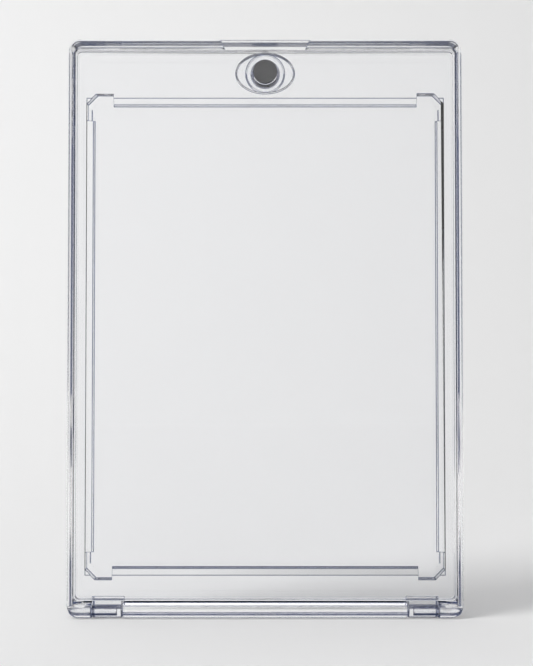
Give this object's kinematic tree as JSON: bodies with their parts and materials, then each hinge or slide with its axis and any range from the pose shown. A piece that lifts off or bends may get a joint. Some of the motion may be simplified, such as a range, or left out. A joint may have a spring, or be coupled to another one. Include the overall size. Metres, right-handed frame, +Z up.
{
  "type": "trading card display case",
  "caption": "Clear hinged display case for one trading card, with a rimmed rear shell, beveled card recess, thumb notch and magnetic catch.",
  "frame": {"origin": "centre of the case's outline on the surface it stands on, at its bottom edge", "axes": "+X to the case's right as the viewer sees it, -Y towards the viewer (the cover's side), +Z up along the case's height"},
  "size_m": [0.0768, 0.008, 0.1125],
  "materials": {
    "clear_shell": "polished clear acrylic",
    "clear_cover": "polished clear acrylic",
    "clear_cap": "polished clear acrylic plug",
    "clear_pin": "polished clear acrylic rod",
    "dark_steel": "matte dark grey face",
    "nickel": "satin nickel plating"
  },
  "bodies": {
    "shell": {"rear_shell": "clear_shell", "shell_magnet": "nickel", "magnet_cap": "clear_cap", "hinge_pin_left": "clear_pin", "hinge_pin_right": "clear_pin"},
    "cover": {"front_cover": "clear_cover", "striker_disc": "dark_steel", "striker_cap": "clear_cap"}
  },
  "joints": [
    {"name": "cover_hinge", "type": "hinge", "parent": "shell", "child": "cover", "pos_m": [0, -0.00245, 0.00155], "axis": [1, 0, 0], "range_deg": [0, 180]}
  ]
}
